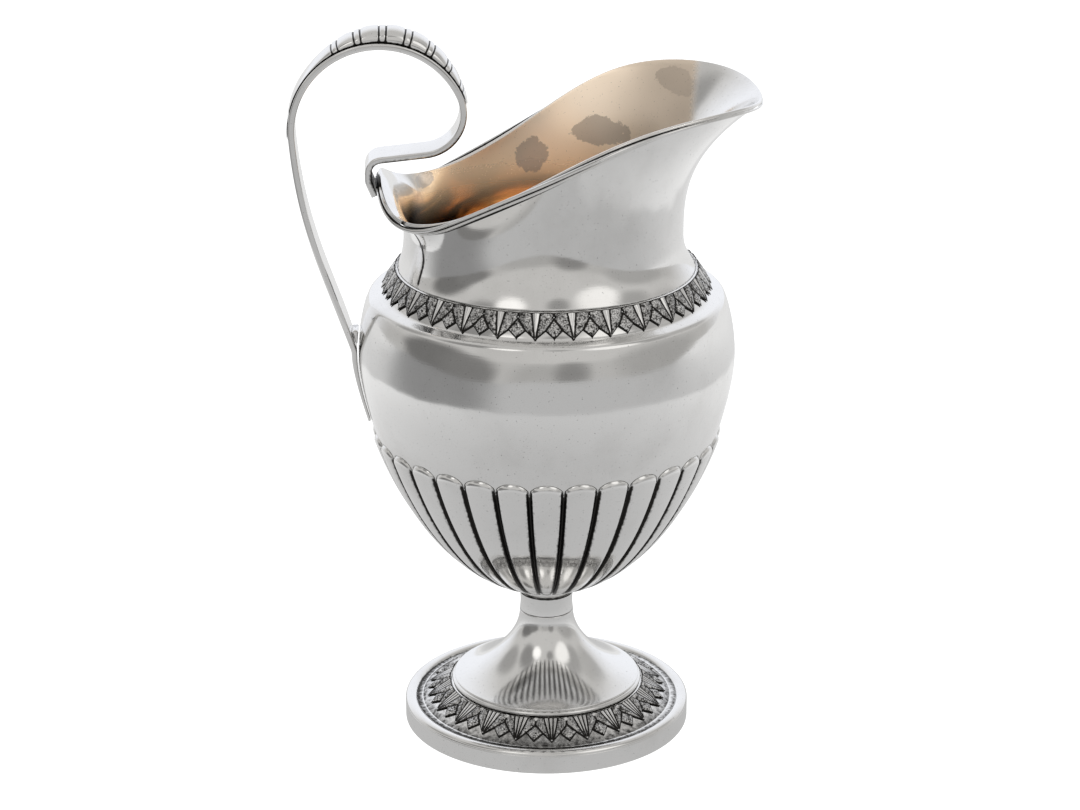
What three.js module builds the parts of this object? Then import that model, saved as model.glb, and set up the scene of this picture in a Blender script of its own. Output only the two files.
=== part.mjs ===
// Silver jug on a foot: gadrooned vase body, helmet neck with a pouring lip, applied leaf friezes
// and a scrolled strap handle. Every piece is a separate casting or sheet, soldered to its neighbour.
// Millimetres, +Z up. The lip points along +X, the handle along -X, and the jug stands on Z = 0.
import * as THREE from 'three';

// Solder seams and sheet gauges
const solderGap = 0.15;
const mouldingSeat = 0.25;
const bodyWall = 1.0;
const neckWall = 1.0;
const pedestalWall = 1.0;
const footPlateWall = 1.0;

// Foot
const footRadius = 40;
const footBandHeight = 5.2;
const footBandWall = 1.4;
const footRollHeight = 1.3;
const footRollWidth = 3.4;
const footGrooveWidth = 1.5;
const footGrooveFloor = 0.5;
const footSlopeRise = 4.9;
const footSlopeWidth = 8.4;
const footFlangeWidth = 2.4;
const pedestalRingHeight = 1.6;
const pedestalRingBulge = 1.3;

// Pedestal and stem
const pedestalEdgeHeight = 0.4;
const pedestalRise = 20.1;
const pedestalFlare = 6.8;
const pedestalLift = 1.8;
const pedestalDraw = 9.8;
const stemRadius = 7.5;
const collarHeight = 5.4;
const collarWaist = 0.2;
const collarWall = 1.3;

// Body: an egg below its widest level, a dome up to the shoulder's edge, then a cone for the frieze
const bossRadius = 7.3;
const bossHeight = 2.2;
const bossFloor = 2.4;
const bellyRadius = 51.6;
const bellyAboveBoss = 71;
const bowlClose = 1.4;
const bowlFullness = 1.55;
const bellyDome = 51.5;
const shoulderAboveBelly = 14.5;
const shoulderWidth = 4.6;
const shoulderRise = 3.9;
const shoulderEdgeInset = 1.3;
const shoulderEdgeRise = 2.9;
const shoulderEdgeSoft = 0.4;
const coneWidth = 4.4;
const coneRise = 6.4;

// Gadroons
const lobeCount = 32;
const lobeTurn = -92.6;
const lobeBottom = 4.2;
const lobeTop = 49.8;
const lobeHead = 3.4;
const lobeRise = 1.2;
const grooveDepth = 0.25;
const grooveEdge = 0.13;
const lobeFlatness = 0.2;
const headStep = 0.8;

// Neck and rim
const throatInset = 2.7;
const throatSetback = 0.9;
const throatRise = 9.6;
const baseSweep = 2.2;
const lipFlare = 2.7;
const backFlare = 2.2;
const lipTip = { along: 57.3, aside: 0, rise: 46.6 };
const lipCheek = { along: 50.4, aside: 22, rise: 48.2 };
const rimWidest = { along: 22.7, aside: 37.1, rise: 45.1 };
const rimFalling = { along: -9, aside: 31.4, rise: 29 };
const rimLowest = { along: -35.2, aside: 24.6, rise: 18.5 };
const rimCorner = { along: -43, aside: 18, rise: 21.2 };
const rimBack = { along: -45.2, aside: 0, rise: 25.8 };
const mouldingHeight = 2.7;
const mouldingDepth = 1.2;
const mouldingAtLip = 0.45;
const mouldingFadeStart = 75;
const mouldingFadeEnd = 35;

// Leaf friezes
const friezeThickness = 0.55;
const friezeMargin = 0.4;
const shoulderLeafCount = 28;
const shoulderLeafLength = 7.6;
const footLeafCount = 21;
const footLeafLength = 8.2;
const leafNotch = 2.6;
const friezeFront = -90;
const friezeEdge = 0.6;

// Handle
const strapWidth = 11.5;
const strapThickness = 2;
const tailWidth = 6;
const tailThickness = 0.8;
const tailDrop = 18.5;
const contactAboveBelly = 2.3;
const tailLean = 0.3;
const tailPull = 20.7;
const loopPull = 27.2;
const loopRadius = 23.4;
const loopAhead = 0.6;
const loopAbove = 13;
const loopStart = 184.5;
const curlRadius = 11.2;
const curlStart = 24;
const curlEnd = -84;
const hookRadius = 3.5;
const hookStraight = 2.6;
const hookDrop = 6.4;
const hookLean = 1.6;
const gripWidth = 10;
const gripHeight = 3.5;
const gripEdge = 0.3;
const gripCrown = 80;
const gripSpread = 66;
const gripLeftEnd = 184;
const gripRightEnd = 12;
const bandCount = 7;
const bandFirst = 117;
const bandStep = 14.8;
const bandGroove = 0.35;
const bandPitch = 0.9;
const bracketWidth = 7;
const bracketFrom = 0.03;
const bracketTo = 0.085;

// Facets
const fineTurn = 2 * lobeCount;
const innerTurn = lobeCount;
const plainTurn = 40;
const rimHalfTurn = 28;

// Levels, from the table up
const bandTop = footBandHeight;
const grooveFloor = bandTop + footGrooveFloor;
const flangeTop = grooveFloor + footSlopeRise;
const pedestalBottom = flangeTop + pedestalRingHeight;
const pedestalTop = pedestalBottom + pedestalRise;
const bossBottom = pedestalTop + collarHeight;
const bellyLevel = bossBottom + bellyAboveBoss;
const shoulderLevel = bellyLevel + shoulderAboveBelly;
const ledgeLevel = shoulderLevel + shoulderRise;
const neckBase = ledgeLevel + coneRise;
const throatLevel = neckBase + throatRise;
const lobeHeadLevel = bossBottom + lobeTop;
const bowlDepth = bellyAboveBoss - bowlClose;

// Radii that neighbours share
const grooveOuter = footRadius - footRollWidth;
const slopeOuter = grooveOuter - footGrooveWidth;
const flangeOuter = slopeOuter - footSlopeWidth;
const flangeInner = flangeOuter - footFlangeWidth;
const shoulderRadius = bowlRadius(shoulderLevel);
const ledgeRadius = shoulderRadius - shoulderWidth;
const neckBaseRadius = ledgeRadius - coneWidth;
const throatRadius = neckBaseRadius - throatInset;

function radians(degrees) {
  return THREE.MathUtils.degToRad(degrees);
}

function mix(a, b, share) {
  return a + (b - a) * share;
}

function polar(radius, angle, z) {
  return new THREE.Vector3(radius * Math.cos(angle), radius * Math.sin(angle), z);
}

// Outer radius of the vase at a height: an egg below the widest level, a dome above it
function bowlRadius(z) {
  const below = (bellyLevel - z) / bowlDepth;
  const above = (z - bellyLevel) / bellyDome;
  const share = z < bellyLevel ? below ** bowlFullness : above ** 2;
  return bellyRadius * Math.sqrt(Math.max(0, 1 - share));
}

// Turns a closed surface's faces outwards
function outward(geometry) {
  const corners = geometry.index.array;
  const spots = geometry.attributes.position;
  const [a, b, c] = [new THREE.Vector3(), new THREE.Vector3(), new THREE.Vector3()];
  let volume = 0;
  for (let i = 0; i < corners.length; i += 3) {
    a.fromBufferAttribute(spots, corners[i]);
    b.fromBufferAttribute(spots, corners[i + 1]);
    c.fromBufferAttribute(spots, corners[i + 2]);
    volume += a.dot(b.cross(c));
  }
  for (let i = 0; volume < 0 && i < corners.length; i += 3) {
    [corners[i + 1], corners[i + 2]] = [corners[i + 2], corners[i + 1]];
  }
  return geometry;
}

// Faces between two rings, where one ring's count is a whole multiple of the other's
function stitch(faces, first, second) {
  const small = Math.min(first.count, second.count);
  const ratio = Math.max(first.count, second.count) / small;
  const half = Math.floor(ratio / 2);
  const at = (ring, k) => ring.start + (k % ring.count);
  for (let k = 0; k < small; k++) {
    for (let e = 0; e < ratio; e++) {
      const apex = e < half ? k : k + 1;
      const edge = k * ratio + e;
      if (first.count >= second.count) {
        faces.push(at(first, edge), at(first, edge + 1), at(second, apex));
      } else {
        faces.push(at(second, edge + 1), at(second, edge), at(first, apex));
      }
    }
    const middle = k * ratio + half;
    if (first.count >= second.count) {
      faces.push(at(first, middle), at(second, k + 1), at(second, k));
    } else {
      faces.push(at(first, k), at(first, k + 1), at(second, middle));
    }
  }
}

// Skin over a row of rings of points. A closed skin joins the last ring to the first, an open one
// gets a flat fan at each end.
function skin(rings, closed) {
  const points = rings.flat();
  const faces = [];
  const spans = [];
  for (const ring of rings) {
    const last = spans.at(-1);
    spans.push({ start: last ? last.start + last.count : 0, count: ring.length });
  }
  for (let i = 1; i < spans.length; i++) {
    stitch(faces, spans[i - 1], spans[i]);
  }
  if (closed) {
    stitch(faces, spans.at(-1), spans[0]);
  } else {
    for (const [span, ring, flip] of [[spans[0], rings[0], 1], [spans.at(-1), rings.at(-1), 0]]) {
      const centre = ring.reduce((sum, p) => sum.add(p), new THREE.Vector3()).divideScalar(span.count);
      points.push(centre);
      for (let k = 0; k < span.count; k++) {
        const pair = [span.start + k, span.start + ((k + 1) % span.count)];
        faces.push(points.length - 1, pair[flip], pair[1 - flip]);
      }
    }
  }
  const geometry = new THREE.BufferGeometry().setFromPoints(points);
  geometry.setIndex(faces);
  return outward(geometry);
}

// Solid of revolution about Z from a closed outline of [radius, height] corners
function revolve(outline, segments) {
  const loop = [...outline, outline[0]].map(([r, z]) => new THREE.Vector2(r, z));
  return outward(new THREE.LatheGeometry(loop, segments).rotateX(Math.PI / 2));
}

// Points along a round stretch of outline: part of an ellipse, both angles in degrees
function round(centre, size, from, to, steps) {
  return Array.from({ length: steps + 1 }, (_, i) => {
    const angle = radians(mix(from, to, i / steps));
    return [centre[0] + size[0] * Math.cos(angle), centre[1] + size[1] * Math.sin(angle)];
  });
}

// Level ring of points that starts in the same groove as the gadroons
function circle(count, radius, z) {
  const start = lobeTurn - 180 / lobeCount;
  return Array.from({ length: count }, (_, k) => polar(radius, radians(start + (360 * k) / count), z));
}

// Flat strip that stands on edge round the foot
function footEdgeBand() {
  const inner = footRadius - footBandWall;
  return revolve([[inner, 0], [footRadius, 0], [footRadius, bandTop], [inner, bandTop]], fineTurn);
}

// Dished plate: a rolled edge on the band, a narrow groove, the slope under the leaves and a flat flange
function footPlate() {
  const rollMiddle = footRadius - footRollWidth / 2;
  const roll = round([rollMiddle, bandTop], [footRollWidth / 2, footRollHeight], 0, 160, 5);
  const top = [
    [grooveOuter, grooveFloor], [slopeOuter, grooveFloor],
    [flangeOuter, flangeTop], [flangeInner, flangeTop],
  ];
  const under = [
    [flangeInner, flangeTop - footPlateWall],
    [flangeOuter, flangeTop - footPlateWall],
    [slopeOuter, grooveFloor - footPlateWall],
    [footRadius - footBandWall - solderGap, grooveFloor - footPlateWall],
    [footRadius - footBandWall - solderGap, bandTop],
  ];
  return revolve([...roll, ...top, ...under], plainTurn);
}

// Half-round ring between the foot's flange and the trumpet
function pedestalRing() {
  const middle = [flangeOuter - pedestalRingBulge, (flangeTop + pedestalBottom) / 2];
  const face = round(middle, [pedestalRingBulge, pedestalRingHeight / 2], -90, 90, 4);
  return revolve([...face, [flangeInner, pedestalBottom], [flangeInner, flangeTop]], plainTurn);
}

// Hollow trumpet, drawn in from the ring to the stem
function pedestal() {
  const edge = flangeOuter - pedestalRingBulge / 2;
  const lip = pedestalBottom + pedestalEdgeHeight;
  const flare = new THREE.CubicBezierCurve(
    new THREE.Vector2(edge, lip),
    new THREE.Vector2(edge - pedestalFlare, lip + pedestalLift),
    new THREE.Vector2(stemRadius, pedestalTop - pedestalDraw),
    new THREE.Vector2(stemRadius, pedestalTop),
  );
  const outer = flare.getPoints(9).map((p) => [p.x, p.y]);
  const inner = [0.8, 0.6, 0.4, 0.2].map((share) => {
    const spot = flare.getPoint(share);
    const way = flare.getTangent(share);
    return [spot.x - way.y * pedestalWall, Math.max(pedestalBottom, spot.y + way.x * pedestalWall)];
  });
  const top = [stemRadius - pedestalWall, pedestalTop];
  const outline = [[edge, pedestalBottom], ...outer, top, ...inner, [flangeInner, pedestalBottom]];
  return revolve(outline, plainTurn);
}

// Short tube that joins the trumpet to the boss under the bowl, slightly waisted
function stemCollar() {
  const middle = (pedestalTop + bossBottom) / 2;
  const inner = stemRadius - collarWall;
  const outline = [
    [inner, pedestalTop], [stemRadius, pedestalTop], [stemRadius - collarWaist, middle],
    [stemRadius, bossBottom], [inner, bossBottom],
  ];
  return revolve(outline, innerTurn);
}

// One ring of the gadroons. The lobes end in round heads, so the ring's height follows the heads.
function lobeRing(share, raised) {
  const stops = [0, grooveEdge, 0.5, 1 - grooveEdge];
  const start = bossBottom + lobeBottom;
  return Array.from({ length: lobeCount * stops.length }, (_, k) => {
    const across = stops[k % stops.length];
    const turn = (Math.floor(k / stops.length) + across - 0.5) / lobeCount;
    const off = Math.abs(2 * across - 1);
    const head = lobeHeadLevel - lobeHead * (1 - Math.sqrt(1 - off * off));
    const z = mix(start, head, share) + (raised ? 0 : headStep);
    const groove = off === 1 ? 1 : off * off * lobeFlatness;
    const relief = lobeRise * (1 - groove) - grooveDepth * groove;
    return polar(bowlRadius(z) + (raised ? relief : 0), radians(lobeTurn + 360 * turn), z);
  });
}

// Raised vase: boss, gadrooned bowl, plain belly, edged shoulder and the cone under the leaves
function body() {
  const start = bossBottom + lobeBottom;
  const rings = [
    circle(fineTurn, bossRadius, bossBottom),
    circle(fineTurn, bossRadius, bossBottom + bossHeight),
  ];
  for (const share of [0, 0.08, 0.2, 0.38, 0.6, 0.82, 1]) {
    rings.push(lobeRing(share, true));
  }
  rings.push(lobeRing(1, false));
  const bellyStart = lobeHeadLevel + 2 * headStep;
  for (let i = 0; i <= 5; i++) {
    const z = mix(bellyStart, shoulderLevel, i / 5);
    rings.push(circle(fineTurn, bowlRadius(z), z));
  }
  const edgeRadius = shoulderRadius - shoulderEdgeInset;
  const edgeLevel = shoulderLevel + shoulderEdgeRise;
  rings.push(circle(fineTurn, edgeRadius + shoulderEdgeSoft, edgeLevel - 2 * shoulderEdgeSoft));
  rings.push(circle(fineTurn, edgeRadius - shoulderEdgeSoft, edgeLevel));
  rings.push(circle(fineTurn, ledgeRadius, ledgeLevel));
  rings.push(circle(fineTurn, neckBaseRadius, neckBase));
  rings.push(circle(innerTurn, neckBaseRadius - bodyWall, neckBase));
  rings.push(circle(innerTurn, ledgeRadius - bodyWall, ledgeLevel - bodyWall));
  rings.push(circle(innerTurn, shoulderRadius - bodyWall, shoulderLevel - bodyWall));
  for (let i = 0; i <= 7; i++) {
    const z = mix(bellyLevel, start + 2 * bodyWall, (i / 7) ** 0.8);
    const belowHeads = THREE.MathUtils.smoothstep(bellyLevel - z, 0, bellyLevel - lobeHeadLevel);
    rings.push(circle(innerTurn, bowlRadius(z) - bodyWall - grooveDepth * belowHeads, z));
  }
  rings.push(circle(innerTurn, bossRadius - bodyWall, bossBottom + bossFloor));
  return skin(rings, false);
}

// Closed rim line through its named points, the same on both sides
const rimStations = [lipTip, lipCheek, rimWidest, rimFalling, rimLowest, rimCorner, rimBack];
const rimSide = rimStations.map((s) => new THREE.Vector3(s.along, s.aside, neckBase + s.rise));
const rimOther = rimSide.slice(1, -1).reverse().map((p) => new THREE.Vector3(p.x, -p.y, p.z));
const rimLine = new THREE.CatmullRomCurve3([...rimSide, ...rimOther], true);
const rimPoints = rimLine.getSpacedPoints(2 * rimHalfTurn).slice(0, -1);

// Point of the neck's outer face on the meridian of one rim point. Level 0 is the base, 1 the throat
// and 2 the rim: the wall sweeps in to a round throat and then flares to the rim.
function neckPoint(rim, level) {
  const angle = Math.atan2(rim.y, rim.x);
  const base = polar(neckBaseRadius, angle, neckBase);
  const throat = polar(throatRadius, angle, throatLevel);
  throat.x -= throatSetback;
  if (level < 1) {
    const lower = throat.lerp(base, (1 - level) ** baseSweep);
    return lower.setZ(mix(neckBase, throatLevel, level));
  }
  const flare = mix(backFlare, lipFlare, (1 + Math.cos(angle)) / 2);
  const upper = throat.lerp(rim, (level - 1) ** flare);
  return upper.setZ(mix(throatLevel, rim.z, level - 1));
}

// Outward direction of the neck's wall in the plane of its meridian, with the length of one level
function neckFacing(rim, level) {
  const step = 0.02;
  const along = neckPoint(rim, level).sub(neckPoint(rim, level - step)).divideScalar(step);
  const out = new THREE.Vector3(rim.x, rim.y, 0).normalize();
  const spread = along.dot(out);
  const length = Math.hypot(spread, along.z);
  const facing = out.clone().multiplyScalar(along.z / length);
  facing.z = -spread / length;
  return { facing, length, out };
}

// Helmet neck: an outer and an inner wall, joined at the flat base and at the lip
function neck() {
  const levels = [0, 0.25, 0.55, 1, 1.25, 1.45, 1.62, 1.77, 1.9, 2];
  const outer = levels.map((level) => rimPoints.map((rim) => neckPoint(rim, level)));
  const inner = levels.filter((level, i) => i % 3 === 0).map((level) => rimPoints.map((rim) => {
    const { facing, out } = neckFacing(rim, Math.max(level, 0.05));
    return neckPoint(rim, level).addScaledVector(out, -neckWall / Math.max(0.5, facing.dot(out)));
  }));
  return skin([...outer, ...inner.reverse()], true);
}

// Reeded wire round the outside of the rim: a round wire with a thin bead below, fading to a plain edge
// at the lip. Its section is given as shares of its height, down from the rim, and of its depth.
function rimMoulding() {
  const section = [
    [0, 0], [0, 0.6], [0.2, 1], [0.42, 0.85],
    [0.56, 0.4], [0.7, 0.65], [0.88, 0.55], [1, 0],
  ];
  const rings = rimPoints.map((rim) => {
    const turned = THREE.MathUtils.radToDeg(Math.abs(Math.atan2(rim.y, rim.x)));
    const whole = THREE.MathUtils.smoothstep(turned, mouldingFadeEnd, mouldingFadeStart);
    const size = mix(mouldingAtLip, 1, whole);
    return section.map(([down, proud]) => {
      const level = 2 - (down * mouldingHeight * size) / neckFacing(rim, 2).length;
      const { facing } = neckFacing(rim, level);
      return neckPoint(rim, level).addScaledVector(facing, mouldingSeat + proud * mouldingDepth * size);
    });
  });
  return skin(rings, true);
}

// Applied strip of leaves on a cone, pointing down and out. Each repeat is a leaf with a flat midrib
// and a lozenge, both with a pointed tip. The cone runs from its root to its foot, [radius, height]. The
// strip is turned by a share of one repeat from having a leaf at the front.
function frieze(root, foot, count, leafLength, turn) {
  const slope = Math.hypot(foot[0] - root[0], root[1] - foot[1]);
  const down = [(foot[0] - root[0]) / slope, (foot[1] - root[1]) / slope];
  const up = [-down[1], down[0]];
  const marks = [[-0.1, 1, 0.8], [0.1, 1, 0.8], [0.28, 0, 0.3], [0.5, 0.95, 1], [0.72, 0, 0.3]];
  const rings = [];
  for (let k = 0; k < count; k++) {
    for (const [across, point, relief] of marks) {
      const angle = radians(friezeFront + (360 * (k + across + turn)) / count);
      const reach = leafLength - leafNotch * (1 - point);
      const at = (along, height) => {
        const r = root[0] + down[0] * along + up[0] * (solderGap + height);
        return polar(r, angle, root[1] + down[1] * along + up[1] * (solderGap + height));
      };
      const edge = friezeThickness * friezeEdge;
      const crest = mix(edge, friezeThickness, relief);
      rings.push([
        at(friezeMargin, 0), at(friezeMargin, edge), at((friezeMargin + reach) / 2, crest),
        at(reach, edge), at(reach, 0),
      ]);
    }
  }
  return skin(rings, true);
}

// Centre line of the strap in the plane of the handle: [x, z] points from the tail on the belly, up the
// back, round the loop and the smaller curl, and over the rim to its end behind the rim moulding
const rimBackPoint = neckPoint(rimPoints[rimHalfTurn], 2);
const hookX = rimBackPoint.x - mouldingSeat - mouldingDepth - solderGap - strapThickness / 2;
const loopCentre = new THREE.Vector2(rimBackPoint.x + loopAhead, rimBackPoint.z + loopAbove);
const contactLevel = bellyLevel + contactAboveBelly;

function tailShare(z) {
  return THREE.MathUtils.smoothstep(z, bellyLevel - tailDrop, contactLevel + strapWidth);
}

function strapDepth(z) {
  return mix(tailThickness, strapThickness, tailShare(z));
}

function tailPoint(z) {
  return new THREE.Vector2(-(bowlRadius(z) + solderGap + strapDepth(z) / 2), z);
}

function around(centre, angle, radius) {
  const way = new THREE.Vector2(Math.cos(radians(angle)), Math.sin(radians(angle)));
  return centre.clone().addScaledVector(way, radius);
}

// Smaller circle that the loop runs into, touching it from inside
const curlCentre = around(loopCentre, curlStart, loopRadius - curlRadius);

// Point beside the loop or the curl at an angle, at a distance outside the strap's centre line
function besideStrap(angle, out) {
  const onLoop = angle > curlStart;
  return around(onLoop ? loopCentre : curlCentre, angle, (onLoop ? loopRadius : curlRadius) + out);
}

// Free stretch of the strap from the belly to the loop
function strapBack() {
  const contact = tailPoint(contactLevel);
  const leave = new THREE.Vector2(contact.x - tailLean * tailPull, contact.y + tailPull);
  const entry = besideStrap(loopStart, 0);
  const arrive = around(entry, loopStart + 90, loopPull);
  return new THREE.CubicBezierCurve(contact, leave, arrive, entry);
}

function strapLine() {
  const curlOut = besideStrap(curlEnd, 0);
  const way = around(new THREE.Vector2(), curlEnd - 90, 1);
  const run = (curlOut.x - hookX - hookRadius * (1 + way.y)) / -way.x;
  const hookLevel = curlOut.y + run * way.y + hookRadius * way.x;
  const hookCentre = new THREE.Vector2(hookX + hookRadius, hookLevel);
  const spread = (steps, from, to, at) => {
    return Array.from({ length: steps }, (_, i) => at(mix(from, to, i / steps)));
  };
  return [
    ...spread(4, bellyLevel - tailDrop, contactLevel, tailPoint),
    ...strapBack().getPoints(9).slice(0, -1),
    ...spread(18, loopStart, curlStart, (angle) => besideStrap(angle, 0)),
    ...spread(9, curlStart, curlEnd, (angle) => besideStrap(angle, 0)),
    curlOut,
    ...spread(4, 180 + curlEnd, 180, (angle) => around(hookCentre, angle, hookRadius)),
    new THREE.Vector2(hookX, hookLevel),
    new THREE.Vector2(hookX, hookLevel - hookStraight),
    new THREE.Vector2(hookX + hookLean, hookLevel - hookDrop),
  ];
}

// Sideways direction of a line of points at one of them, on its outer side
function lineFacing(line, i) {
  const ahead = line[Math.min(i + 1, line.length - 1)];
  const behind = line[Math.max(i - 1, 0)];
  const way = ahead.clone().sub(behind).normalize();
  return new THREE.Vector2(-way.y, way.x);
}

// Flat strap with softened edges, thin and narrow at its tail
function handleStrap() {
  const line = strapLine();
  const corners = [
    [-1, -0.5], [-1, 0.5], [-0.8, 1], [0.8, 1],
    [1, 0.5], [1, -0.5], [0.8, -1], [-0.8, -1],
  ];
  const rings = line.map((p, i) => {
    const facing = lineFacing(line, i);
    const depth = strapDepth(p.y) / 2;
    const width = mix(tailWidth, strapWidth, tailShare(p.y)) / 2;
    return corners.map(([aside, out]) => new THREE.Vector3(
      p.x + facing.x * out * depth, aside * width, p.y + facing.y * out * depth));
  });
  return skin(rings, false);
}

// Height of the grip above the strap at an angle round the loop: a crescent, thickest near the top
function gripRise(angle) {
  const off = Math.min(1, Math.abs(angle - gripCrown) / gripSpread);
  return gripEdge + (gripHeight - gripEdge) * Math.cos((off * Math.PI) / 2) ** 2;
}

// Half-round grip on the outside of the loop, crossed by pairs of grooves
function handleGrip() {
  const stations = [];
  for (let angle = gripLeftEnd; angle > bandFirst + bandStep / 2; angle -= bandStep / 2) {
    stations.push([angle, 1]);
  }
  for (let band = 0; band < bandCount; band++) {
    const middle = bandFirst - band * bandStep;
    const step = THREE.MathUtils.radToDeg(bandPitch / (loopRadius + gripHeight));
    const cut = 1 - bandGroove / gripRise(middle);
    stations.push([middle + bandStep / 2, 1], [middle + 1.6 * step, 1], [middle + step, cut]);
    stations.push([middle, 1], [middle - step, cut], [middle - 1.6 * step, 1]);
  }
  const last = stations.at(-1)[0];
  for (let i = 1; i <= 3; i++) {
    stations.push([mix(last, gripRightEnd, i / 3), 1]);
  }
  const rings = stations.map(([angle, cut]) => {
    const arch = round([0, 0], [gripWidth / 2, gripRise(angle) * cut], 180, 0, 6);
    return arch.map(([aside, rise]) => {
      const spot = besideStrap(angle, strapThickness / 2 + solderGap + rise);
      return new THREE.Vector3(spot.x, aside, spot.y);
    });
  });
  return skin(rings, false);
}

// Small wedge that fills the corner between the strap and the belly
function handleBracket() {
  const back = strapBack();
  const spots = [0, 0.25, 0.5, 0.75, 1].map((share) => back.getPoint(mix(bracketFrom, bracketTo, share)));
  const strapSide = spots.map((p) => new THREE.Vector2(p.x + strapDepth(p.y) / 2 + solderGap, p.y));
  const bellySide = spots.map((p) => new THREE.Vector2(-bowlRadius(p.y) - solderGap, p.y));
  const shape = new THREE.Shape([...strapSide, ...bellySide.reverse()]);
  const wedge = new THREE.ExtrudeGeometry(shape, { depth: bracketWidth, bevelEnabled: false });
  return wedge.rotateX(Math.PI / 2).translate(0, bracketWidth / 2, 0);
}

// Finishes
const polishedSilver = { color: 0xd6d6d4, roughness: 0.16, metalness: 1 };
const chasedSilver = { color: 0xb4b3b0, roughness: 0.34, metalness: 1 };

const jug = new THREE.Group();

function piece(name, geometry, finish) {
  const mesh = new THREE.Mesh(geometry, new THREE.MeshStandardMaterial(finish));
  mesh.name = name;
  jug.add(mesh);
}

const shoulderRoot = [neckBaseRadius, neckBase];
const shoulderFoot = [ledgeRadius, ledgeLevel];
const shoulderLeaves = frieze(shoulderRoot, shoulderFoot, shoulderLeafCount, shoulderLeafLength, 0.5);
const footRoot = [flangeOuter, flangeTop];
const footFoot = [slopeOuter, grooveFloor];
const footLeaves = frieze(footRoot, footFoot, footLeafCount, footLeafLength, 0);

piece('foot_edge_band', footEdgeBand(), polishedSilver);
piece('foot_plate', footPlate(), polishedSilver);
piece('foot_frieze', footLeaves, chasedSilver);
piece('pedestal_ring', pedestalRing(), polishedSilver);
piece('pedestal', pedestal(), polishedSilver);
piece('stem_collar', stemCollar(), polishedSilver);
piece('body', body(), polishedSilver);
piece('shoulder_frieze', shoulderLeaves, chasedSilver);
piece('neck', neck(), polishedSilver);
piece('rim_moulding', rimMoulding(), polishedSilver);
piece('handle_strap', handleStrap(), polishedSilver);
piece('handle_grip', handleGrip(), polishedSilver);
piece('handle_bracket', handleBracket(), polishedSilver);

// The origin lies under the middle of the whole jug
const extent = new THREE.Box3().setFromObject(jug);
jug.position.x = -(extent.min.x + extent.max.x) / 2;

export default jug;
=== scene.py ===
import bpy
import numpy as np
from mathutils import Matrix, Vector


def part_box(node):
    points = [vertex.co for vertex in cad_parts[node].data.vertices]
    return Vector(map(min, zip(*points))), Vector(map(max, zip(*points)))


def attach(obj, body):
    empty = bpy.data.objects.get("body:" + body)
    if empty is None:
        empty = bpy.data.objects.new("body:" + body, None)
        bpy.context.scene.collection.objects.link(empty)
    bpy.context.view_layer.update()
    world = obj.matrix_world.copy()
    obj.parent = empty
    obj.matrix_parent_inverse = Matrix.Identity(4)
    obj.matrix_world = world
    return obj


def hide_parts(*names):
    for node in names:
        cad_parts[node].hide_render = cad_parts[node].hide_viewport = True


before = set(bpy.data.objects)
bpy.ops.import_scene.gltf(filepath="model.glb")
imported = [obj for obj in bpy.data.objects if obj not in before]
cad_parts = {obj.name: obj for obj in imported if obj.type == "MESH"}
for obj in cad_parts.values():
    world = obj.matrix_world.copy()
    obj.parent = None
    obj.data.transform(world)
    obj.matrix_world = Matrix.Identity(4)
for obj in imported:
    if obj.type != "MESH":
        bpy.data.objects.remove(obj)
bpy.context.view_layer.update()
bandLow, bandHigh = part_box("foot_edge_band")
axisX = 0.5 * (bandLow[0] + bandHigh[0])  # the jug's own axis in the shared frame
metre = 0.001  # the shapes below are worked out in millimetres from that axis
print("frame loaded, axis at", round(axisX, 5))

scene = bpy.context.scene
scene.view_settings.view_transform = "Standard"


# Mesh helpers

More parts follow.
